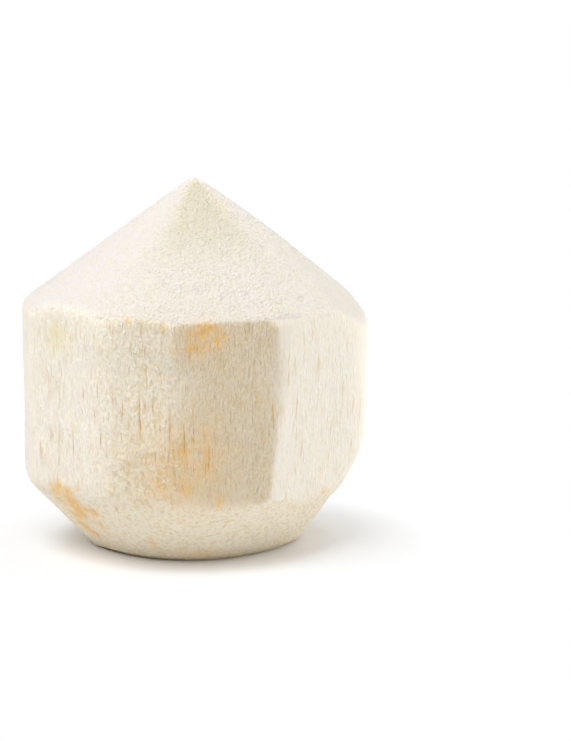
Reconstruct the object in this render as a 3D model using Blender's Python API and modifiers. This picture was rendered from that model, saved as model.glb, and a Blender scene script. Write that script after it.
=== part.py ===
"""A young coconut trimmed with a knife: a pointed top, upright side cuts, a bevelled foot and a flat base.

Units are metres, +Z is up and the origin is the middle of the flat base. Azimuths are in degrees
round the fruit: 0 faces -Y, the front, and they grow towards +X, the right.
"""
import math

import bpy
from mathutils import Vector

# Driving sizes of the turned blank: the fruit as if it were perfectly round
APEX_HEIGHT = 0.1257      # where the sides of the pointed top would meet
TOP_SLOPE = 36.0          # degrees below horizontal
BODY_RADIUS = 0.0590
FOOT_RADIUS = 0.0366      # at the base
FOOT_SLOPE = 48.5         # degrees above horizontal, from the base outwards
APEX_ROUND = 0.0043
SHOULDER_ROUND = 0.0065   # between the top and the side
WAIST_ROUND = 0.0060      # between the side and the foot
BASE_ROUND = 0.0012
TURNS = 96
ARC_STEP = 9.0            # degrees of arc between two points of a rounded corner

# The knife's cuts. Each goes flat across the fruit, square to its azimuth.
SIDE_CUT_HEIGHT = 0.0445  # where the side cuts' depths are measured

# azimuth, where the cut meets the fruit's axis, slope
TOP_CUTS = (
    (10.0, 0.1255, 37.4),
    (84.0, 0.1328, 44.0),
    (134.0, 0.1262, 37.8),
    (-172.0, 0.1272, 38.6),
    (-122.0, 0.1260, 37.4),
)
# azimuth, depth from the axis, how far it leans in towards the foot
SIDE_CUTS = (
    (-16.0, 0.0575, 0.5),
    (12.0, 0.0556, 1.5),
    (52.0, 0.0549, 3.0),
    (86.0, 0.0578, 2.0),
    (116.0, 0.0563, 1.0),
    (149.0, 0.0572, 0.6),
    (-179.0, 0.0559, 1.8),
    (-146.0, 0.0570, 0.8),
    (-112.0, 0.0558, 0.4),
    (-78.0, 0.0580, 0.0),
    (-47.0, 0.0559, 0.0),
)
# azimuth, distance from the axis at the base, slope
FOOT_CUTS = (
    (-20.0, 0.0345, 43.5),
    (12.0, 0.0344, 47.0),
    (40.0, 0.0315, 45.5),
    (60.0, 0.0340, 50.0),
    (86.0, 0.0373, 60.0),
    (122.0, 0.0346, 51.0),
    (158.0, 0.0338, 47.5),
    (-166.0, 0.0350, 49.0),
    (-128.0, 0.0345, 49.0),
    (-48.0, 0.0345, 47.5),
)
BLADE = 0.30              # a cutter's side, longer than the fruit is wide

HUSK_COLOUR = (0.83, 0.77, 0.65, 1.0)
HUSK_ROUGHNESS = 0.78


def clear_scene():
    """Removes whatever the open file holds."""
    for old in list(bpy.data.objects):
        bpy.data.objects.remove(old, do_unlink=True)


def make_collection(name):
    """Makes a collection in the scene."""
    made = bpy.data.collections.new(name)
    bpy.context.scene.collection.children.link(made)
    return made


def make_husk_material():
    """Makes the cream-white, dull husk."""
    material = bpy.data.materials.new("husk")
    material.use_nodes = True
    shader = material.node_tree.nodes["Principled BSDF"]
    shader.inputs["Base Color"].default_value = HUSK_COLOUR
    shader.inputs["Roughness"].default_value = HUSK_ROUGHNESS
    shader.inputs["Metallic"].default_value = 0.0
    material.diffuse_color = HUSK_COLOUR
    return material


def round_corner(before, corner, after, radius):
    """Replaces a corner of the profile by an arc that touches both of its lines."""
    to_before = (before - corner).normalized()
    to_after = (after - corner).normalized()
    half_angle = to_before.angle(to_after) / 2
    reach = radius / math.tan(half_angle)
    centre = corner + (to_before + to_after).normalized() * radius / math.sin(half_angle)
    start = corner + to_before * reach - centre
    end = corner + to_after * reach - centre
    sweep = start.angle(end)
    count = max(2, math.ceil(math.degrees(sweep) / ARC_STEP))
    points = []
    for step in range(count + 1):
        share = step / count
        along = start * math.sin((1 - share) * sweep) + end * math.sin(share * sweep)
        points.append(centre + along / math.sin(sweep))
    return points


def blank_profile():
    """Gives the blank's outline from the tip down its outer side to the middle of the base."""
    top_fall = math.tan(math.radians(TOP_SLOPE))
    foot_rise = math.tan(math.radians(FOOT_SLOPE))
    tip = Vector((0.0, APEX_HEIGHT))
    shoulder = Vector((BODY_RADIUS, APEX_HEIGHT - BODY_RADIUS * top_fall))
    waist = Vector((BODY_RADIUS, (BODY_RADIUS - FOOT_RADIUS) * foot_rise))
    base_edge = Vector((FOOT_RADIUS, 0.0))
    base_middle = Vector((0.0, 0.0))

    other_shoulder = Vector((-shoulder.x, shoulder.y))
    over_tip = round_corner(other_shoulder, tip, shoulder, APEX_ROUND)
    points = [Vector((0.0, max(point.y for point in over_tip)))]
    points += [point for point in over_tip if point.x > APEX_ROUND * 0.05]
    points += round_corner(tip, shoulder, waist, SHOULDER_ROUND)
    points += round_corner(shoulder, waist, base_edge, WAIST_ROUND)
    points += round_corner(waist, base_edge, base_middle, BASE_ROUND)
    points.append(base_middle)
    return points


def turn_blank(collection, material):
    """Turns the outline round the fruit's axis."""
    points = blank_profile()
    mesh = bpy.data.meshes.new("husk")
    vertices = [(point.x, 0.0, point.y) for point in points]
    edges = [(index, index + 1) for index in range(len(points) - 1)]
    mesh.from_pydata(vertices, edges, [])
    mesh.materials.append(material)
    husk = bpy.data.objects.new("husk", mesh)
    collection.objects.link(husk)

    turning = husk.modifiers.new("Turning", "SCREW")
    turning.axis = "Z"
    turning.angle = math.radians(360)
    turning.steps = TURNS
    turning.render_steps = TURNS
    turning.use_merge_vertices = True
    turning.merge_threshold = 0.00005
    turning.use_smooth_shade = True
    return husk


def cut_flat(husk, collection, name, point, outward):
    """Cuts away all that lies beyond the flat through point, on the side that outward names."""
    bpy.ops.mesh.primitive_cube_add(size=BLADE)
    cutter = bpy.context.object
    cutter.name = name
    cutter.rotation_euler = outward.to_track_quat("Z", "Y").to_euler()
    cutter.location = point + outward * BLADE / 2
    for old in list(cutter.users_collection):
        old.objects.unlink(cutter)
    collection.objects.link(cutter)
    cutter.hide_render = True
    cutter.display_type = "WIRE"

    cut = husk.modifiers.new(name, "BOOLEAN")
    cut.operation = "DIFFERENCE"
    cut.solver = "EXACT"
    cut.object = cutter


def heading(azimuth):
    """Gives the level direction of an azimuth."""
    turn = math.radians(azimuth)
    return Vector((math.sin(turn), -math.cos(turn), 0.0))


def make_cuts(husk, collection):
    """Trims the blank: first its sides, then its pointed top, then its foot."""
    up = Vector((0.0, 0.0, 1.0))
    for azimuth, depth, lean in SIDE_CUTS:
        tilt = math.radians(lean)
        outward = heading(azimuth) * math.cos(tilt) - up * math.sin(tilt)
        point = heading(azimuth) * depth + up * SIDE_CUT_HEIGHT
        cut_flat(husk, collection, f"side_cut_{azimuth:.0f}", point, outward)
    for azimuth, height, slope in TOP_CUTS:
        tilt = math.radians(slope)
        outward = heading(azimuth) * math.sin(tilt) + up * math.cos(tilt)
        cut_flat(husk, collection, f"top_cut_{azimuth:.0f}", up * height, outward)
    for azimuth, distance, slope in FOOT_CUTS:
        tilt = math.radians(slope)
        outward = heading(azimuth) * math.sin(tilt) - up * math.cos(tilt)
        point = heading(azimuth) * distance
        cut_flat(husk, collection, f"foot_cut_{azimuth:.0f}", point, outward)


clear_scene()
fruit = make_collection("trimmed_coconut")
knife = make_collection("knife_cuts")
husk_blank = turn_blank(fruit, make_husk_material())
make_cuts(husk_blank, knife)
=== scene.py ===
"""A young coconut, trimmed with a knife to its white husk, standing on its cut base."""
import math

import bpy
import numpy as np
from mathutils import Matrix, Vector


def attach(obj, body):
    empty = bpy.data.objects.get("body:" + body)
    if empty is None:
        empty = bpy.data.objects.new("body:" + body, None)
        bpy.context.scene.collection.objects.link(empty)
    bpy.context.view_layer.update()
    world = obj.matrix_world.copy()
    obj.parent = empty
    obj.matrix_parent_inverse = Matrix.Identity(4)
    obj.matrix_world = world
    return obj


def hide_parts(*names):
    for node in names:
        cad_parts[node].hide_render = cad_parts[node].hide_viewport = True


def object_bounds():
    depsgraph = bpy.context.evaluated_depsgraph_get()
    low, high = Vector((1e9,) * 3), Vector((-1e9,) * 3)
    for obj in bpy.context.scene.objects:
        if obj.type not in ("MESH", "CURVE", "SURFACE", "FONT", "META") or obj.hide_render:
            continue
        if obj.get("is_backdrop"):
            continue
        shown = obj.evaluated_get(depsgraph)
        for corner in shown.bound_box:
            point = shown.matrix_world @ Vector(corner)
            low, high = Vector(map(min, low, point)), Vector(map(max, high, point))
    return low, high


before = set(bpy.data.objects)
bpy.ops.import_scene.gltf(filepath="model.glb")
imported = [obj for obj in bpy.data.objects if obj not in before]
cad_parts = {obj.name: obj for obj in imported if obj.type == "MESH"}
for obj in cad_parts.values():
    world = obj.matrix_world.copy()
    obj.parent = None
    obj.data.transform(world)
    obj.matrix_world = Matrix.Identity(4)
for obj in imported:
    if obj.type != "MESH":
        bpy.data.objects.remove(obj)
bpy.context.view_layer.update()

# The cut husk
# The real piece is the whole fruit: white fibrous husk round a nut that doesn't show. It grew as one
# piece, and a long knife gave it its form, with flat strokes down its sides, over its top and under it.

APEX_HEIGHT = 0.1257       # where the sides of the pointed top would meet
TOP_SLOPE = 36.0           # degrees below horizontal
BODY_RADIUS = 0.0590
FOOT_RADIUS = 0.0366       # at the base
FOOT_SLOPE = 48.5          # degrees above horizontal, from the base outwards
APEX_ROUND = 0.0043
SHOULDER_ROUND = 0.0065
WAIST_ROUND = 0.0060
BASE_ROUND = 0.0012
SHOULDER_HEIGHT = APEX_HEIGHT - BODY_RADIUS * math.tan(math.radians(TOP_SLOPE))
WAIST_HEIGHT = (BODY_RADIUS - FOOT_RADIUS) * math.tan(math.radians(FOOT_SLOPE))
HEART = 0.048              # height of the point that the husk's surface is measured from
SIDE_CUT_HEIGHT = 0.0445   # where the side strokes' depths are measured

# The husk's colours: partly its own, whitest near the skin and more like straw where a stroke went deeper,
# and partly painted shade and light: the strokes that face the front, out of the side lamps, are darker
# butter and straw, those that face the lamps ivory, and the foot's pith is lighter in place of light
# bounced up from the table
MILK = (0.812, 0.762, 0.702)
IVORY = (0.968, 0.906, 0.798)
CREAM = (0.905, 0.845, 0.745)
BUTTER = (0.965, 0.875, 0.715)
STRAW = (0.822, 0.702, 0.535)
PITH = (0.970, 0.880, 0.715)

# azimuth, where the stroke meets the fruit's axis, slope, colour
TOP_CUTS = (
    (10.0, 0.1255, 37.4, MILK), (84.0, 0.1328, 44.0, MILK), (134.0, 0.1262, 37.8, CREAM),
    (-172.0, 0.1272, 38.6, MILK), (-122.0, 0.1260, 37.4, CREAM),
)
# azimuth, depth from the axis, how far it leans in towards the foot, colour, share of upright threads,
# depth of the grain, painted shade in its hollows
SIDE_CUTS = (
    (-16.0, 0.0575, 0.5, BUTTER, 0.32, 2.40, 0.50), (12.0, 0.0556, 1.5, STRAW, 0.40, 2.10, 0.85),
    (49.0, 0.0544, 4.5, IVORY, 0.55, 1.10, 0.35), (86.0, 0.0578, 2.0, IVORY, 0.60, 1.10, 0.20),
    (116.0, 0.0563, 1.0, BUTTER, 0.30, 1.40, 0.50), (149.0, 0.0572, 0.6, CREAM, 0.60, 1.20, 0.30),
    (-179.0, 0.0559, 1.8, STRAW, 0.20, 1.90, 0.60), (-146.0, 0.0570, 0.8, CREAM, 0.50, 1.40, 0.35),
    (-112.0, 0.0558, 0.4, BUTTER, 0.40, 1.60, 0.45), (-78.0, 0.0580, 0.0, IVORY, 0.65, 1.50, 0.35),
    (-47.0, 0.0559, 0.0, IVORY, 0.60, 1.60, 0.50),
)
# azimuth, distance from the axis at the base, slope, colour
FOOT_CUTS = (
    (-20.0, 0.0345, 43.5, PITH), (12.0, 0.0344, 47.0, PITH), (40.0, 0.0315, 45.5, PITH),
    (60.0, 0.0340, 50.0, PITH), (86.0, 0.0373, 60.0, CREAM), (122.0, 0.0346, 51.0, PITH),
    (158.0, 0.0338, 47.5, CREAM), (-166.0, 0.0350, 49.0, PITH), (-128.0, 0.0345, 49.0, CREAM),
    (-48.0, 0.0345, 47.5, PITH),
)
BLANK_COLOURS = [MILK, CREAM, PITH]         # of the uncut fruit's top, side and foot
# Upright threads, depth of the grain and painted shade in the hollows, of the blank, the top and the foot
BLANK_THREADS, BLANK_GRAIN, BLANK_HOLLOW_SHADE = 0.4, 0.6, 0.3
TOP_GRAIN, TOP_HOLLOW_SHADE = 1.1, 0.60
FOOT_GRAIN, FOOT_HOLLOW_SHADE = 1.15, 0.65

# How widely the flats blend into one another
CRISP_EDGE = 0.00022       # at the front of the rim
WORN_EDGE = 0.0008         # elsewhere
SUNK_EDGE = 0.0015         # between the side strokes left of the front, which hardly show
FOOT_EDGE = 0.0018         # between the strokes of the foot
BASE_EDGE = 0.00025        # round the base

# Azimuths over which a feature comes in, from the first to the second, and fades, from the third on
CRISP_RIM = (-22, -12, 33, 42)
CRISP_CREASE = (20, 24, 34, 38)
SUNK_STROKES = (-60, -45, 0, 8)
SMOOTH_LEFT = (-95, -75, -42, -18)
COARSE_STROKE = (-46, -16, -8, -3)
LEFT_FRONT = (-50, -44, -9, -5)
TORN_PATCH = (-27, -24, -3, 5)
TIP_FRONT = (-28, -8, 28, 54)
IVORY_TO_BUTTER = (-42, -15)      # where the left of the front goes from ivory to butter, partly painted shade

ARC_POINTS = 13            # on each rounded corner of the outline
OUTLINE_POINTS = 1200
ROWS_DOWN_SIDE = 186       # rows from the tip to the base's edge
ROWS_UNDER = 8
COLUMNS = 300


def round_corner(before, corner, after, radius):
    """Replaces a corner by points on the arc of that radius that touches both of its lines."""
    to_before = (before - corner) / np.linalg.norm(before - corner)
    to_after = (after - corner) / np.linalg.norm(after - corner)
    half_angle = math.acos(float(to_before @ to_after)) / 2
    middle = (to_before + to_after) / np.linalg.norm(to_before + to_after)
    centre = corner + middle * radius / math.sin(half_angle)
    start = corner + to_before * radius / math.tan(half_angle) - centre
    end = corner + to_after * radius / math.tan(half_angle) - centre
    sweep = math.pi - 2 * half_angle
    share = np.linspace(0, 1, ARC_POINTS)[:, None]
    return centre + (np.sin((1 - share) * sweep) * start + np.sin(share * sweep) * end) / math.sin(sweep)


def blank_outline():
    """The uncut fruit's radii and heights from the tip to the middle of the base, and the length along
    that line: straight between the tip, the shoulder, the waist and the base's edge, each rounded."""
    tip = np.array([0.0, APEX_HEIGHT])
    shoulder = np.array([BODY_RADIUS, SHOULDER_HEIGHT])
    waist = np.array([BODY_RADIUS, WAIST_HEIGHT])
    base_edge = np.array([FOOT_RADIUS, 0.0])
    middle = np.array([0.0, 0.0])
    over_tip = round_corner(shoulder * (-1, 1), tip, shoulder, APEX_ROUND)
    corners = np.concatenate([
        over_tip[ARC_POINTS // 2:],
        round_corner(tip, shoulder, waist, SHOULDER_ROUND),
        round_corner(shoulder, waist, base_edge, WAIST_ROUND),
        round_corner(waist, base_edge, middle, BASE_ROUND),
        middle[None],
    ])
    lengths = np.linalg.norm(np.diff(corners, axis=0), axis=1)
    along = np.concatenate([[0], np.cumsum(lengths)])
    evenly = np.linspace(0, along[-1], OUTLINE_POINTS)
    return np.interp(evenly, along, corners[:, 0]), np.interp(evenly, along, corners[:, 1]), evenly


def fall_to(radius, height):
    """Angle at the heart between straight up and a point at that radius and height."""
    return np.arctan2(radius, height - HEART)


outline_radius, outline_height, outline_along = blank_outline()
outline_fall = fall_to(outline_radius, outline_height)

GRAZING = 1e-3             # least share of a flat's outward line, so that no distance is endless
LOST = 60                  # so many softnesses farther out than the nearest flat, one has no share
FOOT_CONE_TOP = 0.002      # below here the blank's foot runs straight on, for the base to cut across
OUT_OF_REACH = 0.5         # added to a part of the blank beyond its own stretch


def flat_distances(azimuth, fall):
    """Distance from the heart to every flat and to the uncut blank, for a direction given by azimuth
    and by its angle from straight up. A flat's is its reach along its outward line, divided by how
    much of that line the direction has. The list gives the blank's top, side and foot first."""
    level = np.sin(fall)
    upright = np.cos(fall)

    def distance_to(out, up, reach):
        """Distance to a flat: its reach, over the direction's share of its outward line. That line has
        one part level, turned towards the direction, and one part up."""
        return reach / np.maximum(level * out + upright * up, GRAZING)

    foot_tilt = math.radians(FOOT_SLOPE)
    foot_reach = FOOT_RADIUS * math.sin(foot_tilt) + HEART * math.cos(foot_tilt)
    foot_cone = distance_to(math.sin(foot_tilt), -math.cos(foot_tilt), foot_reach)
    blank = np.interp(fall, outline_fall, np.hypot(outline_radius, outline_height - HEART))
    blank = np.where(HEART + foot_cone * upright < FOOT_CONE_TOP, foot_cone, blank)
    below_shoulder = fall > fall_to(BODY_RADIUS, SHOULDER_HEIGHT)
    below_waist = fall > fall_to(BODY_RADIUS, WAIST_HEIGHT)
    distances = [
        blank + OUT_OF_REACH * below_shoulder,
        blank + OUT_OF_REACH * (~below_shoulder | below_waist),
        blank + OUT_OF_REACH * ~below_waist,
    ]
    for turn, height, slope, _ in TOP_CUTS:
        tilt = math.radians(slope)
        facing = np.cos(azimuth - math.radians(turn))
        reach = (height - HEART) * math.cos(tilt)
        distances.append(distance_to(facing * math.sin(tilt), math.cos(tilt), reach))
    for turn, depth, lean, *_ in SIDE_CUTS:
        tilt = math.radians(lean)
        facing = np.cos(azimuth - math.radians(turn))
        reach = depth * math.cos(tilt) - (SIDE_CUT_HEIGHT - HEART) * math.sin(tilt)
        distances.append(distance_to(facing * math.cos(tilt), -math.sin(tilt), reach))
    for turn, base_reach, slope, _ in FOOT_CUTS:
        tilt = math.radians(slope)
        facing = np.cos(azimuth - math.radians(turn))
        reach = base_reach * math.sin(tilt) + HEART * math.cos(tilt)
        distances.append(distance_to(facing * math.sin(tilt), -math.cos(tilt), reach))
    return np.stack(distances)


def cut_surface(azimuth, fall, softness):
    """Distance from the heart to the husk: the least of the blank's and the flats' distances, blended
    over the softness where two come close. Also each one's share of the surface there."""
    distances = flat_distances(azimuth, fall)
    least = distances.min(axis=0)
    shares = np.exp(-np.minimum((distances - least) / softness, LOST))
    total = shares.sum(axis=0)
    cut = least - softness * np.log(total)
    base = HEART / np.maximum(-np.cos(fall), GRAZING)
    nearest = np.minimum(cut, base)
    blended = np.exp((nearest - cut) / BASE_EDGE) + np.exp((nearest - base) / BASE_EDGE)
    return nearest - BASE_EDGE * np.log(blended), shares / total


LATTICE = 32               # cells along each side of the block of random values that lumps repeats


def lumps(points, size, seed):
    """Smooth random heights from -1 to 1 in space: random values on a lattice whose cells have the
    given size along each axis, eased from corner to corner."""
    lattice = np.random.default_rng(seed).uniform(-1, 1, (LATTICE, LATTICE, LATTICE))
    place = points / np.asarray(size) + 2 * LATTICE
    corner = np.floor(place).astype(int)
    share = place - corner
    share = share * share * (3 - 2 * share)
    total = np.zeros(points.shape[:-1])
    for step in np.ndindex(2, 2, 2):
        weight = np.prod(np.where(step, share, 1 - share), axis=-1)
        x, y, z = np.moveaxis((corner + step) % LATTICE, -1, 0)
        total += weight * lattice[x, y, z]
    return total


def ease(low, high, value):
    """Goes smoothly from 0 at low to 1 at high."""
    share = np.clip((value - low) / (high - low), 0, 1)
    return share * share * (3 - 2 * share)


def turn_from(centre):
    """Angle of each point of the grid from a centre azimuth, in degrees, between -180 and 180."""
    return (degrees - centre + 180) % 360 - 180


def over(zone):
    """1 over the middle of a zone of azimuths, eased to 0 on either side of it."""
    return ease(zone[0], zone[1], degrees) * (1 - ease(zone[2], zone[3], degrees))


def tint(colour, amount, other):
    """Brings a colour towards another one, by an amount from 0 to 1 at each point."""
    return colour + amount[..., None] * (np.asarray(other) - colour)


# Splits between the fibres: azimuth, lowest and highest point, half-width, depth
SPLITS = (
    (-54.6, 0.0395, 0.0480, 0.00018, 0.000125), (-53.6, 0.0400, 0.0450, 0.00016, 0.000100),
    (-47.5, 0.0560, 0.0620, 0.00014, 0.000075), (-42.6, 0.0350, 0.0490, 0.00018, 0.000150),
    (-37.0, 0.0545, 0.0610, 0.00016, 0.000100), (-30.4, 0.0560, 0.0640, 0.00016, 0.000125),
    (-31.8, 0.0480, 0.0550, 0.00016, 0.000100), (-29.4, 0.0400, 0.0505, 0.00018, 0.000150),
    (-24.6, 0.0540, 0.0620, 0.00015, 0.000100), (-21.4, 0.0490, 0.0590, 0.00016, 0.000110),
    (-15.5, 0.0430, 0.0605, 0.00024, 0.000250), (-13.8, 0.0540, 0.0580, 0.00018, 0.000150),
    (-11.2, 0.0520, 0.0570, 0.00018, 0.000150), (-5.7, 0.0415, 0.0540, 0.00022, 0.000225),
    (-1.2, 0.0380, 0.0540, 0.00020, 0.000225), (1.8, 0.0420, 0.0510, 0.00016, 0.000100),
    (6.6, 0.0330, 0.0440, 0.00018, 0.000125), (-25.8, 0.0190, 0.0232, 0.00030, 0.000225),
    (27.6, 0.0470, 0.0590, 0.00018, 0.000150), (37.5, 0.0480, 0.0600, 0.00014, 0.000060),
    (72.0, 0.0420, 0.0560, 0.00020, 0.000150), (103.0, 0.0300, 0.0410, 0.00020, 0.000150),
    (131.0, 0.0520, 0.0660, 0.00022, 0.000200), (164.0, 0.0360, 0.0480, 0.00020, 0.000150),
    (-160.0, 0.0480, 0.0620, 0.00022, 0.000200), (-129.0, 0.0330, 0.0430, 0.00020, 0.000150),
    (-96.0, 0.0500, 0.0590, 0.00018, 0.000150),
)
# How far from a split's middle the grid has a column of its own
SPLIT_COLUMNS = (-0.0005, -0.00025, -0.0001, 0.0001, 0.00025, 0.0005)

# The grid: columns round the fruit, closer where a split runs, and rows from tip to base
ON_BASE = 1e-5             # the outline has reached the base below this height
plain_columns = np.linspace(-180, 180, COLUMNS, endpoint=False)
split_columns = [turn + math.degrees(step / BODY_RADIUS) for turn, *_ in SPLITS for step in SPLIT_COLUMNS]
column_turns = np.unique(np.round(np.concatenate([plain_columns, split_columns]), 3))
edge_along = outline_along[np.argmax(outline_height < ON_BASE)]
row_along = np.concatenate([
    np.linspace(0, edge_along, ROWS_DOWN_SIDE + 1)[1:],
    np.linspace(edge_along, outline_along[-1], ROWS_UNDER + 1)[1:-1],
])
row_falls = np.interp(row_along, outline_along, outline_fall)
azimuth, fall = np.meshgrid(np.radians(column_turns), row_falls, indexing="ij")
degrees = np.degrees(azimuth)

# The edges: crisp along the front of the rim and down the crease to its right, softer elsewhere
RIM_HEIGHT = 0.074         # below here an edge belongs to the sides
FOOT_TOP_HEIGHT = 0.020    # below here it belongs to the foot
EDGE_CHANGE = math.radians(8)
RIM_FALLS = (0.5, 0.8)     # angles from straight up, in radians, between which the rim's edge sets in
CREASE_FALLS = (1.35, 1.60)
CREASE_CRISPNESS = 0.85
rim_fall = fall_to(BODY_RADIUS, RIM_HEIGHT)
foot_fall = fall_to(BODY_RADIUS, FOOT_TOP_HEIGHT)
under_rim = ease(rim_fall, rim_fall + EDGE_CHANGE, fall)
crisp_rim = over(CRISP_RIM) * (1 - under_rim) * ease(*RIM_FALLS, fall)
crisp_crease = CREASE_CRISPNESS * over(CRISP_CREASE) * ease(*CREASE_FALLS, fall)
crisp = np.maximum(crisp_rim, crisp_crease)
sunk = over(SUNK_STROKES) * under_rim
softness = WORN_EDGE + (CRISP_EDGE - WORN_EDGE) * crisp + (SUNK_EDGE - WORN_EDGE) * sunk
softness += (FOOT_EDGE - softness) * ease(foot_fall, foot_fall + EDGE_CHANGE, fall)
distance, shares = cut_surface(azimuth, fall, softness)


def place_points(reach):
    """Points at a distance from the heart along each direction of the grid."""
    level = reach * np.sin(fall)
    return np.stack([level * np.sin(azimuth), -level * np.cos(azimuth), HEART + reach * np.cos(fall)], -1)


points = place_points(distance)
height = points[..., 2]

# How much of the surface at each point was cut over the top, down the side and under the foot
side_from = 3 + len(TOP_CUTS)
foot_from = side_from + len(SIDE_CUTS)
on_top = shares[0] + shares[3:side_from].sum(axis=0)
on_side = shares[1] + shares[side_from:foot_from].sum(axis=0)
on_foot = shares[2] + shares[foot_from:].sum(axis=0)
side_shares = np.moveaxis(shares[side_from:foot_from], 0, -1)
smooth_left = over(SMOOTH_LEFT)


def side_value(blank_value, column):
    """Each side stroke's value from a column of SIDE_CUTS, and the blank's, by their shares."""
    return shares[1] * blank_value + side_shares @ np.array([cut[column] for cut in SIDE_CUTS])


TIP_RADII = (0.0005, 0.0045)    # between these the grain grows from faint to full at the tip
TIP_GRAIN = 0.3                 # share of its depth that it has on the tip itself
LEFT_LOSS = 0.55                # share that it lacks on the top's smooth left flank
threads = side_value(BLANK_THREADS, 4)
grain_depth = side_value(BLANK_GRAIN, 5) + FOOT_GRAIN * on_foot
grain_depth += TOP_GRAIN * (1 - LEFT_LOSS * smooth_left) * on_top
grain_depth *= TIP_GRAIN + (1 - TIP_GRAIN) * ease(*TIP_RADII, np.hypot(points[..., 0], points[..., 1]))
# How much painted shade each point's hollows get
hollow_shade = side_value(BLANK_HOLLOW_SHADE, 6) + TOP_HOLLOW_SHADE * on_top + FOOT_HOLLOW_SHADE * on_foot

# The coarse stroke left of the front runs into its neighbour without an edge, and goes from ivory to
# butter to its right: partly the husk's own colour, partly painted shade as it turns from the left lamps
coarse = over(COARSE_STROKE) * on_side
# Each point's colour: the husk's own, with painted light and shade in its tints
flat_colours = np.array(BLANK_COLOURS + [cut[3] for cut in TOP_CUTS + SIDE_CUTS + FOOT_CUTS])
colour_and_painted_light = np.moveaxis(shares, 0, -1) @ flat_colours
left_colour = tint(np.array(IVORY), ease(*IVORY_TO_BUTTER, degrees), BUTTER)
colour_and_painted_light = tint(colour_and_painted_light, over(LEFT_FRONT) * on_side, left_colour)

# The tip's front is khaki: partly greener husk, and partly painted shade, standing in for a short
# steeper stroke there that turns from the lamps above
KHAKI = (0.700, 0.640, 0.500)
KHAKI_SHARE = 0.8
KHAKI_HEIGHTS = (0.094, 0.114)
colour_and_painted_light = tint(colour_and_painted_light, KHAKI_SHARE * over(TIP_FRONT) * ease(*KHAKI_HEIGHTS, height), KHAKI)
# Painted light: the top's left flank, which faces the lamps, is tinted cooler and a little darker,
# standing in for the less warm look that the strong light there gives it
WASHED_OUT_TINT = (0.92, 0.92, 0.97)
colour_and_painted_light = tint(colour_and_painted_light, smooth_left * on_top, colour_and_painted_light * WASHED_OUT_TINT)
# The lowest millimetres of the foot are browner towards the base
BROWNED = (0.80, 0.66, 0.46)
BROWNED_SHARE = 0.35
BROWNED_TOP = 0.006
colour_and_painted_light = tint(colour_and_painted_light, BROWNED_SHARE * (1 - ease(0.0, BROWNED_TOP, height)) * on_foot, BROWNED)

# The relief that the knife and the fibres leave: depth, size along each axis, seed
BROAD_LUMPS = (0.00016, (0.021, 0.021, 0.026), 11)
SIDE_RIDGES = (0.00006, (0.0030, 0.0030, 0.017), 12)
CROSSCUT_LUMPS = (0.00006, (0.0036, 0.0036, 0.0030), 13)
COARSE_LUMPS = (0.00012, (0.0030, 0.0030, 0.0046), 14)
TORN_LUMPS = (0.00020, (0.0030, 0.0030, 0.0036), 15)
TORN_DEPTH = 0.00028
# The torn patch's upper edge is a ledge, which climbs to the right
LEDGE_AZIMUTH = -24
LEDGE_HEIGHT = 0.0356
LEDGE_CLIMB = 0.00038      # for each degree
LEDGE_STEP = (-0.0006, 0.0004)


def uneven(depth, size, seed):
    """Lumps of that depth and size at the grid's points."""
    return depth * lumps(points, size, seed)


relief = uneven(*BROAD_LUMPS)
relief += on_side * uneven(*SIDE_RIDGES)
relief += (on_top + on_foot) * uneven(*CROSSCUT_LUMPS)
relief += coarse * uneven(*COARSE_LUMPS)
ledge_height = LEDGE_HEIGHT + (degrees - LEDGE_AZIMUTH) * LEDGE_CLIMB
torn = ease(*LEDGE_STEP, ledge_height - height) * over(TORN_PATCH) * on_side
relief += torn * (TORN_DEPTH + uneven(*TORN_LUMPS))


WANDER, WANDER_LENGTH = 0.00012, 0.0023     # how far a split's path strays, and over what height
SHAKE, SHAKE_LENGTH = 0.00006, 0.0009
SPLIT_FOOT, SPLIT_HEAD = 0.35, 0.5          # shares of a split's length over which its ends fade


def split_groove(turn, low, high, half_width):
    """A split's profile at each point: a bell across it, 1 at its middle, that fades out to both ends.
    Its path strays by two sine waves of the height."""
    wander = WANDER * np.sin(height / WANDER_LENGTH + turn)
    wander += SHAKE * np.sin(height / SHAKE_LENGTH + 2 * turn)
    across = np.radians(turn_from(turn)) * BODY_RADIUS + wander
    length = high - low
    from_foot = ease(low, low + SPLIT_FOOT * length, height)
    to_head = 1 - ease(high - SPLIT_HEAD * length, high, height)
    return np.exp(-(across / half_width) ** 2) * from_foot * to_head


split = np.zeros_like(height)
for turn, low, high, half_width, depth in SPLITS:
    groove = split_groove(turn, low, high, half_width)
    relief += depth * groove
    split = np.maximum(split, groove)

# The relief sets in above the base and away from the tip
PLAIN_HEIGHT = 0.0015
PLAIN_RADIUS = 0.006
off_axis = ease(0.0, PLAIN_RADIUS, np.hypot(points[..., 0], points[..., 1]))
off_ends = ease(0.0, PLAIN_HEIGHT, height) * off_axis
points = place_points(distance - relief * off_ends)
points[..., 2] = np.maximum(points[..., 2], 0.0)

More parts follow.
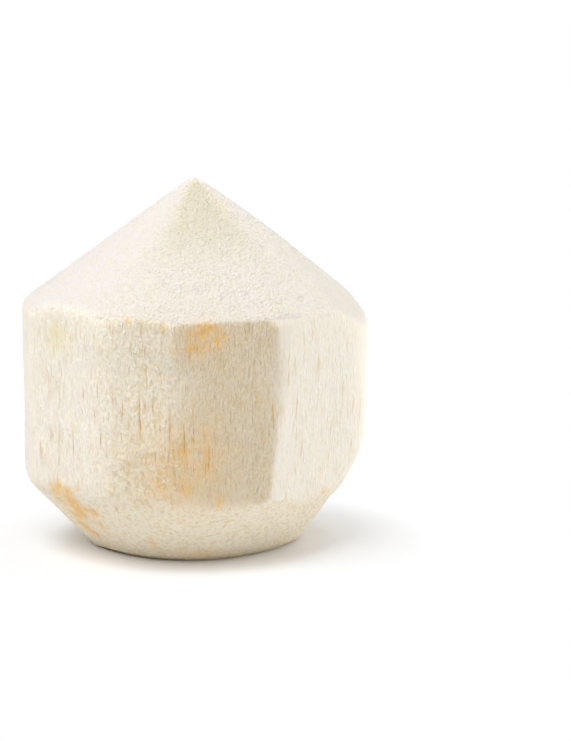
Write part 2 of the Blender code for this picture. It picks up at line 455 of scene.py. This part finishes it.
# Stains where the juice dried in, placed as on the front of the real fruit and by choice behind:
# azimuth, height, half-width, half-height, strength
ORANGE_UNDER_RIM = (
    (5.6, 0.0768, 0.0085, 0.0065, 0.35), (1.2, 0.0786, 0.0013, 0.0011, 1.1),
    (5.6, 0.0794, 0.0022, 0.0024, 1.1), (7.2, 0.0808, 0.0013, 0.0012, 0.9),
    (3.7, 0.0812, 0.0016, 0.0007, 0.9), (0.4, 0.0738, 0.0016, 0.0015, 0.9),
    (2.4, 0.0750, 0.0014, 0.0012, 1.0), (9.6, 0.0764, 0.0006, 0.0022, 1.1),
    (10.3, 0.0796, 0.0006, 0.0017, 1.0), (6.4, 0.0741, 0.0010, 0.0009, 0.8),
    (4.3, 0.0728, 0.0006, 0.0020, 0.9), (8.0, 0.0765, 0.0010, 0.0009, 0.7),
    (11.6, 0.0777, 0.0009, 0.0016, 0.7), (-19.0, 0.0823, 0.0013, 0.0009, 1.0),
    (-8.0, 0.0813, 0.0025, 0.0012, 0.4),
)
ORANGE_ON_LEFT_FOOT = (
    (-54.1, 0.0246, 0.0026, 0.0024, 0.9), (-50.9, 0.0259, 0.0014, 0.0024, 1.1),
    (-46.5, 0.0251, 0.0024, 0.0017, 0.7), (-41.3, 0.0263, 0.0014, 0.0010, 0.6),
    (-55.9, 0.0197, 0.0017, 0.0020, 0.8), (-47.4, 0.0214, 0.0027, 0.0026, 1.2),
    (-49.6, 0.0185, 0.0027, 0.0022, 1.3), (-49.8, 0.0162, 0.0021, 0.0018, 1.3),
    (-55.5, 0.0143, 0.0038, 0.0016, 1.0), (-43.4, 0.0179, 0.0012, 0.0017, 1.0),
    (-39.1, 0.0180, 0.0019, 0.0017, 1.4), (-57.5, 0.0105, 0.0028, 0.0015, 1.1),
    (-56.5, 0.0081, 0.0034, 0.0016, 1.0), (-42.1, 0.0129, 0.0013, 0.0026, 0.7),
    (-52.8, 0.0070, 0.0014, 0.0012, 0.8), (-49.0, 0.0185, 0.0080, 0.0070, 0.34),
)
ORANGE_LOWER_FRONT = (
    (-17.0, 0.0340, 0.0100, 0.0110, 0.22), (0.0, 0.0370, 0.0125, 0.0135, 0.54),
    (6.4, 0.0384, 0.0013, 0.0060, 0.5), (4.8, 0.0469, 0.0012, 0.0026, 0.4),
    (-1.4, 0.0410, 0.0009, 0.0016, 1.0), (-9.5, 0.0293, 0.0034, 0.0042, 0.35),
    (-1.2, 0.0285, 0.0018, 0.0024, 0.4), (10.1, 0.0241, 0.0015, 0.0022, 0.9),
    (55.2, 0.0229, 0.0012, 0.0013, 1.3), (52.0, 0.0300, 0.0011, 0.0040, 0.35),
    (-15.7, 0.0476, 0.0007, 0.0040, 0.5), (5.8, 0.0039, 0.0060, 0.0016, 0.4),
    (-18.0, 0.0077, 0.0015, 0.0030, 0.6), (-5.3, 0.0052, 0.0018, 0.0016, 0.4),
)
ORANGE_BEHIND = (
    (118.0, 0.0700, 0.0065, 0.0045, 0.7), (-150.0, 0.0330, 0.0085, 0.0085, 0.45),
    (160.0, 0.0190, 0.0050, 0.0030, 0.8), (-100.0, 0.0640, 0.0050, 0.0060, 0.4),
    (176.0, 0.0800, 0.0060, 0.0030, 0.7),
)
YELLOW_STAINS = (
    (-50.5, 0.0755, 0.0060, 0.0048, 1.4), (-17.0, 0.1175, 0.0016, 0.0070, 0.3),
    (41.0, 0.1170, 0.0020, 0.0060, 0.3), (-12.0, 0.0810, 0.0080, 0.0016, 0.5),
    (26.0, 0.0805, 0.0030, 0.0014, 0.6), (60.0, 0.0045, 0.0060, 0.0030, 0.4),
    (140.0, 0.0720, 0.0075, 0.0060, 0.6), (-135.0, 0.0780, 0.0060, 0.0050, 0.6),
)


BLOT_EDGE = 1.2            # how firm a blot's edge is, where a bell has 1


def stain_amount(stains):
    """How strong the stains are at each point: the sum of soft round blots on the surface."""
    amount = np.zeros_like(height)
    radius = np.hypot(points[..., 0], points[..., 1])
    for turn, middle, half_width, half_height, strength in stains:
        across = np.radians(turn_from(turn)) * radius / half_width
        up = (height - middle) / half_height
        amount += strength * np.exp(-(across ** 2 + up ** 2) ** BLOT_EDGE)
    return amount


def with_ends(values):
    """The grid's values in a row, followed by the mean of the first ring and of the last ring, which
    are for the point at the tip and the point under the foot."""
    ends = [values[:, 0].mean(axis=0), values[:, -1].mean(axis=0)]
    return np.concatenate([values.reshape(-1, *values.shape[2:]), ends]).astype(np.float32)


def make_husk():
    """Joins the grid's points into one closed surface, with a point at the tip and one under it."""
    columns, rows = height.shape
    tip_distance, _ = cut_surface(np.zeros((1, 1)), np.zeros((1, 1)), CRISP_EDGE)
    tip = (0.0, 0.0, HEART + float(tip_distance[0, 0]))
    vertices = np.concatenate([points.reshape(-1, 3), [tip], [(0.0, 0.0, 0.0)]])
    column = np.arange(columns)
    beside = (column + 1) % columns
    row = np.arange(rows - 1)
    upper_left = (column[:, None] * rows + row).ravel()
    upper_right = (beside[:, None] * rows + row).ravel()
    quads = np.column_stack([upper_left, upper_left + 1, upper_right + 1, upper_right])
    tip_index = columns * rows
    foot_index = tip_index + 1
    round_tip = np.column_stack([np.full(columns, tip_index), column * rows, beside * rows])
    last = rows - 1
    round_foot = np.column_stack([np.full(columns, foot_index), beside * rows + last, column * rows + last])
    mesh = bpy.data.meshes.new("cut_husk")
    mesh.from_pydata(vertices.tolist(), [], quads.tolist() + round_tip.tolist() + round_foot.tolist())
    mesh.shade_smooth()
    made = bpy.data.objects.new("cut_husk", mesh)
    bpy.context.scene.collection.objects.link(made)
    orange_stains = ORANGE_UNDER_RIM + ORANGE_ON_LEFT_FOOT + ORANGE_LOWER_FRONT + ORANGE_BEHIND
    marks = {
        "orange_stain": stain_amount(orange_stains), "yellow_stain": stain_amount(YELLOW_STAINS),
        "split": split, "threads": threads, "coarse": np.clip(coarse * 0.8 + torn, 0, 1), "torn": torn,
        "on_foot": on_foot, "on_top": on_top, "grain_depth": grain_depth, "hollow_shade": hollow_shade,
    }
    for name, amount in marks.items():
        attribute = mesh.attributes.new(name, "FLOAT", "POINT")
        attribute.data.foreach_set("value", with_ends(amount))
    opaque = np.concatenate([colour_and_painted_light, np.ones_like(height)[..., None]], axis=-1)
    attribute = mesh.attributes.new("colour_and_painted_light", "FLOAT_COLOR", "POINT")
    attribute.data.foreach_set("color", with_ends(opaque).ravel())
    return made


class Paint:
    """A material's node tree, with short ways to add a node and join it to the ones before."""

    def __init__(self, name):
        self.material = bpy.data.materials.new(name)
        self.material.use_nodes = True
        self.tree = self.material.node_tree
        self.shader = self.tree.nodes["Principled BSDF"]

    def set(self, socket, value):
        """Gives a socket a value, or links another node's output to it."""
        if isinstance(value, bpy.types.NodeSocket):
            self.tree.links.new(value, socket)
        else:
            socket.default_value = value

    def mark(self, name, output="Fac"):
        """Reads an amount or a colour stored on the mesh."""
        node = self.tree.nodes.new("ShaderNodeAttribute")
        node.attribute_name = name
        return node.outputs[output]

    def place(self, scale=(1.0, 1.0, 1.0)):
        """The surface's own place in metres, squeezed by a scale along each axis."""
        source = self.tree.nodes.new("ShaderNodeTexCoord").outputs["Object"]
        node = self.tree.nodes.new("ShaderNodeMapping")
        self.tree.links.new(source, node.inputs["Vector"])
        node.inputs["Scale"].default_value = scale
        return node.outputs["Vector"]

    def reckon(self, operation, first, second=0.0, third=0.0, clamp=False):
        """Works out one number from others."""
        node = self.tree.nodes.new("ShaderNodeMath")
        node.operation = operation
        node.use_clamp = clamp
        for socket, value in zip(node.inputs, (first, second, third)):
            self.set(socket, value)
        return node.outputs[0]

    def mix(self, amount, first, second):
        """Goes from the first number to the second as the amount goes from 0 to 1."""
        return self.reckon("MULTIPLY_ADD", self.reckon("SUBTRACT", second, first), amount, first)

    def blend(self, amount, first, second):
        """Mixes two colours."""
        node = self.tree.nodes.new("ShaderNodeMix")
        node.data_type = "RGBA"
        for socket, value in zip((node.inputs[0], node.inputs[6], node.inputs[7]), (amount, first, second)):
            self.set(socket, value)
        return node.outputs[2]

    def noise(self, scale, squeeze=(1.0, 1.0, 1.0), detail=2.0, roughness=0.5, warp=0.0):
        """Random cloud with the given number of lumps a metre, from 0 to 1 round 0.5."""
        node = self.tree.nodes.new("ShaderNodeTexNoise")
        self.tree.links.new(self.place(squeeze), node.inputs["Vector"])
        node.inputs["Scale"].default_value = scale
        node.inputs["Detail"].default_value = detail
        node.inputs["Roughness"].default_value = roughness
        node.inputs["Distortion"].default_value = warp
        return node.outputs["Fac"]

    def pebbles(self, scale, squeeze):
        """Rounded lumps pressed together, with the given number a metre, from 0 to 1 round 0.5."""
        node = self.tree.nodes.new("ShaderNodeTexVoronoi")
        node.feature = "SMOOTH_F1"
        self.tree.links.new(self.place(squeeze), node.inputs["Vector"])
        node.inputs["Scale"].default_value = scale
        node.inputs["Smoothness"].default_value = 0.6
        return self.reckon("SUBTRACT", 0.95, node.outputs["Distance"])

    def ramp(self, value, low, high):
        """Stretches a value so that low becomes 0 and high becomes 1."""
        node = self.tree.nodes.new("ShaderNodeMapRange")
        self.set(node.inputs["Value"], value)
        node.inputs["From Min"].default_value = low
        node.inputs["From Max"].default_value = high
        return node.outputs["Result"]


HOLLOW_SHADE_GOLD = (0.800, 0.620, 0.320, 1.0)         # painted shade, warm gold, in the hollows of the sides and the foot
HOLLOW_SHADE_GREENISH = (0.700, 0.645, 0.430, 1.0)       # and in those of the top
DASH = (0.780, 0.560, 0.260, 1.0)
ORANGE = (0.940, 0.595, 0.220, 1.0)
YELLOW = (0.900, 0.800, 0.480, 1.0)
SPLIT_GOLD = (0.730, 0.450, 0.150, 1.0)
BUMP_HEIGHT = 0.0012


def make_husk_paint():
    """Fresh husk: granules where the fibres are cut across, felt and upright threads where they are
    cut along, painted warm shade in the hollows, and orange and yellow stains that follow the grain."""
    paint = Paint("white_husk")
    on_top = paint.mark("on_top")
    on_foot = paint.mark("on_foot")

    # Heights of the fine relief, each from 0 to 1 round 0.5
    speckle = paint.noise(1300.0, squeeze=(1.0, 1.0, 0.85), detail=2.5, roughness=0.60)
    granules = paint.mix(0.4, speckle, paint.pebbles(1050.0, squeeze=(1.0, 1.0, 0.9)))
    felt = paint.noise(1200.0, squeeze=(1.0, 1.0, 0.45), detail=2.5, roughness=0.62)
    thread = paint.noise(1500.0, squeeze=(1.0, 1.0, 0.12), detail=2.0, roughness=0.6)
    wrinkle = paint.noise(900.0, squeeze=(0.80, 0.80, 1.10), detail=2.5, roughness=0.65)
    clots = paint.noise(640.0, squeeze=(1.0, 1.0, 0.70), detail=3.0, roughness=0.6)
    waves = paint.noise(190.0, squeeze=(1.0, 1.0, 0.6))

    # The grain of each kind of cut, with clots where the blade tore, more of them in the torn patch
    along = paint.mix(paint.mark("threads"), felt, thread)
    grain = paint.mix(on_foot, paint.mix(on_top, along, granules), wrinkle)
    fine_height = paint.reckon("SUBTRACT", grain, 0.5)
    clot_height = paint.reckon("MULTIPLY", paint.reckon("SUBTRACT", clots, 0.5), paint.mark("coarse"))
    more_clots = paint.reckon("MULTIPLY_ADD", paint.mark("torn"), 2.0, 1.0)
    clot_height = paint.reckon("MULTIPLY", clot_height, more_clots)
    surface_height = paint.reckon("MULTIPLY", fine_height, paint.mark("grain_depth"))
    surface_height = paint.reckon("MULTIPLY_ADD", clot_height, 0.45, surface_height)
    wave_height = paint.reckon("SUBTRACT", waves, 0.5)
    surface_height = paint.reckon("MULTIPLY_ADD", wave_height, 0.5, surface_height)

    # Painted shade in the hollows of the grain, warm gold, stronger in some places than in others
    hollow = paint.ramp(paint.reckon("ADD", fine_height, clot_height), 0.03, -0.17)
    shade_patches = paint.ramp(waves, 0.30, 0.75)
    hollow_shade_amount = paint.reckon("MULTIPLY", hollow, paint.reckon("MULTIPLY_ADD", shade_patches, 0.6, 0.7))
    hollow_shade_amount = paint.reckon("MULTIPLY", hollow_shade_amount, paint.mark("hollow_shade"), clamp=True)
    hollow_shade_colour = paint.blend(on_top, HOLLOW_SHADE_GOLD, HOLLOW_SHADE_GREENISH)
    colour = paint.blend(hollow_shade_amount, paint.mark("colour_and_painted_light", "Color"), hollow_shade_colour)

    # Upright golden dashes on the sides, where a fibre lies open
    dash = paint.noise(900.0, squeeze=(1.0, 1.0, 0.075), detail=1.0)
    dash = paint.reckon("MULTIPLY", paint.ramp(dash, 0.62, 0.73), paint.ramp(waves, 0.38, 0.58))
    on_side = paint.reckon("SUBTRACT", paint.reckon("SUBTRACT", 1.0, on_top), on_foot)
    dash = paint.reckon("MULTIPLY", dash, paint.reckon("MULTIPLY", on_side, 0.60))
    colour = paint.blend(dash, colour, DASH)

    # Stains break up along the grain
    mottle = paint.noise(700.0, squeeze=(1.0, 1.0, 0.6), detail=3.0, roughness=0.65, warp=0.5)
    broken = paint.reckon("MULTIPLY_ADD", paint.ramp(mottle, 0.32, 0.60), 0.85, 0.25)
    blotch = paint.reckon("MULTIPLY", paint.mark("orange_stain"), broken, clamp=True)
    colour = paint.blend(paint.reckon("MULTIPLY", blotch, 0.95), colour, ORANGE)
    patchy = paint.ramp(mottle, 0.30, 0.62)
    yellowed = paint.reckon("MULTIPLY", paint.mark("yellow_stain"), patchy, clamp=True)
    colour = paint.blend(paint.reckon("MULTIPLY", yellowed, 0.75), colour, YELLOW)
    colour = paint.blend(paint.reckon("MULTIPLY", paint.mark("split"), 0.95), colour, SPLIT_GOLD)

    bump = paint.tree.nodes.new("ShaderNodeBump")
    bump.inputs["Strength"].default_value = 1.0
    bump.inputs["Distance"].default_value = BUMP_HEIGHT
    paint.set(bump.inputs["Height"], surface_height)
    paint.set(paint.shader.inputs["Base Color"], colour)
    paint.set(paint.shader.inputs["Normal"], bump.outputs["Normal"])
    paint.set(paint.shader.inputs["Roughness"], paint.reckon("MULTIPLY_ADD", hollow, 0.12, 0.70))
    paint.shader.inputs["Specular IOR Level"].default_value = 0.3
    paint.shader.inputs["Subsurface Weight"].default_value = 0.12
    paint.shader.inputs["Subsurface Radius"].default_value = (1.0, 0.65, 0.4)
    paint.shader.inputs["Subsurface Scale"].default_value = 0.0015
    return paint.material


cut_husk = make_husk()
cut_husk.data.materials.append(make_husk_paint())
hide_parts("husk")
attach(cut_husk, "root")

# The studio
# A white table that glows round the fruit, soft boxes in front, to both sides and a little behind,
# and a camera a little above the fruit, aimed to its right as in the photograph.

FLOOR_RADIUS = 0.9
FLOOR_SIDES = 96
FLOOR_WHITE = (0.885, 0.890, 0.905, 1.0)
FADE_FROM = 0.044          # from here out the table's own light takes over
FADE_TO = 0.080
SOFTBOX_WIDTH = 0.7
SOFTBOX_DISTANCE = 0.9
SOFTBOX_AIM = Vector((0.0, 0.0, 0.06))
VIEW_DISTANCE = 12 * BODY_RADIUS
VIEW_PITCH = 8.5           # degrees below level
VIEW_AIM = Vector((0.0307, 0.0016, 0.0584))
LENS = 100.6
SURROUND_COLOUR = (1.0, 0.95, 0.88, 1.0)
SURROUND_STRENGTH = 0.02


def make_floor():
    """A flat round table top, far wider than the fruit, that glows white except below it."""
    turn = np.linspace(0, 2 * math.pi, FLOOR_SIDES, endpoint=False)
    rim = FLOOR_RADIUS * np.column_stack([np.cos(turn), np.sin(turn), np.zeros(FLOOR_SIDES)])
    mesh = bpy.data.meshes.new("table_top")
    mesh.from_pydata(rim.tolist(), [], [list(range(FLOOR_SIDES))])
    floor = bpy.data.objects.new("table_top", mesh)
    bpy.context.scene.collection.objects.link(floor)
    paint = Paint("white_table")
    out = paint.tree.nodes.new("ShaderNodeVectorMath")
    out.operation = "LENGTH"
    paint.tree.links.new(paint.place(), out.inputs[0])
    fade = paint.ramp(out.outputs["Value"], FADE_FROM, FADE_TO)
    glow = paint.tree.nodes.new("ShaderNodeEmission")
    paint.shader.inputs["Base Color"].default_value = FLOOR_WHITE
    paint.shader.inputs["Roughness"].default_value = 0.6
    paint.shader.inputs["Specular IOR Level"].default_value = 0.1
    mixed = paint.tree.nodes.new("ShaderNodeMixShader")
    paint.tree.links.new(fade, mixed.inputs[0])
    paint.tree.links.new(paint.shader.outputs[0], mixed.inputs[1])
    paint.tree.links.new(glow.outputs[0], mixed.inputs[2])
    paint.tree.links.new(mixed.outputs[0], paint.tree.nodes["Material Output"].inputs["Surface"])
    mesh.materials.append(paint.material)
    return floor


def make_softbox(name, azimuth_degrees, elevation, power):
    """A white square lamp aimed at the fruit from an azimuth and an elevation."""
    data = bpy.data.lights.new(name, "AREA")
    data.shape = "RECTANGLE"
    data.size = SOFTBOX_WIDTH
    data.size_y = SOFTBOX_WIDTH
    data.energy = power
    lamp = bpy.data.objects.new(name, data)
    turn = math.radians(azimuth_degrees)
    lift = math.radians(elevation)
    back = Vector((math.sin(turn) * math.cos(lift), -math.cos(turn) * math.cos(lift), math.sin(lift)))
    lamp.location = SOFTBOX_AIM + back * SOFTBOX_DISTANCE
    lamp.rotation_euler = (-back).to_track_quat("-Z", "Y").to_euler()
    bpy.context.scene.collection.objects.link(lamp)


# name, azimuth, elevation, power
SOFTBOXES = (
    ("main_softbox", -28.0, 55.0, 6.2),
    ("left_softbox", -90.0, 55.0, 3.4),
    ("left_low_softbox", -120.0, 5.0, 2.7),
    ("right_softbox", 120.0, 5.0, 6.8),
    ("right_rear_softbox", 105.0, 55.0, 2.6),
    ("right_front_softbox", 55.0, 5.0, 1.6),
    ("front_softbox", 0.0, 5.0, 1.4),
)


def make_surround():
    """Weak warm light from all round, behind a background that the camera sees as plain white."""
    world = bpy.data.worlds.new("surround")
    bpy.context.scene.world = world
    world.use_nodes = True
    tree = world.node_tree
    lit = tree.nodes["Background"]
    lit.inputs["Color"].default_value = SURROUND_COLOUR
    lit.inputs["Strength"].default_value = SURROUND_STRENGTH
    seen = tree.nodes.new("ShaderNodeBackground")
    seen.inputs["Color"].default_value = (1.0, 1.0, 1.0, 1.0)
    path = tree.nodes.new("ShaderNodeLightPath")
    mixed = tree.nodes.new("ShaderNodeMixShader")
    tree.links.new(path.outputs["Is Camera Ray"], mixed.inputs[0])
    tree.links.new(lit.outputs[0], mixed.inputs[1])
    tree.links.new(seen.outputs[0], mixed.inputs[2])
    tree.links.new(mixed.outputs[0], tree.nodes["World Output"].inputs["Surface"])


make_floor()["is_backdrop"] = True
for softbox in SOFTBOXES:
    make_softbox(*softbox)
make_surround()
bpy.context.scene.view_settings.view_transform = "Standard"

camera_data = bpy.data.cameras.new("camera")
camera_data.lens = LENS
camera_data.clip_start = 0.05
camera = bpy.data.objects.new("camera", camera_data)
bpy.context.scene.collection.objects.link(camera)
pitch = math.radians(VIEW_PITCH)
looking = Vector((0.0, math.cos(pitch), -math.sin(pitch)))
camera.location = VIEW_AIM - looking * VIEW_DISTANCE
camera.rotation_euler = looking.to_track_quat("-Z", "Y").to_euler()
bpy.context.scene.camera = camera

low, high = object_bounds()
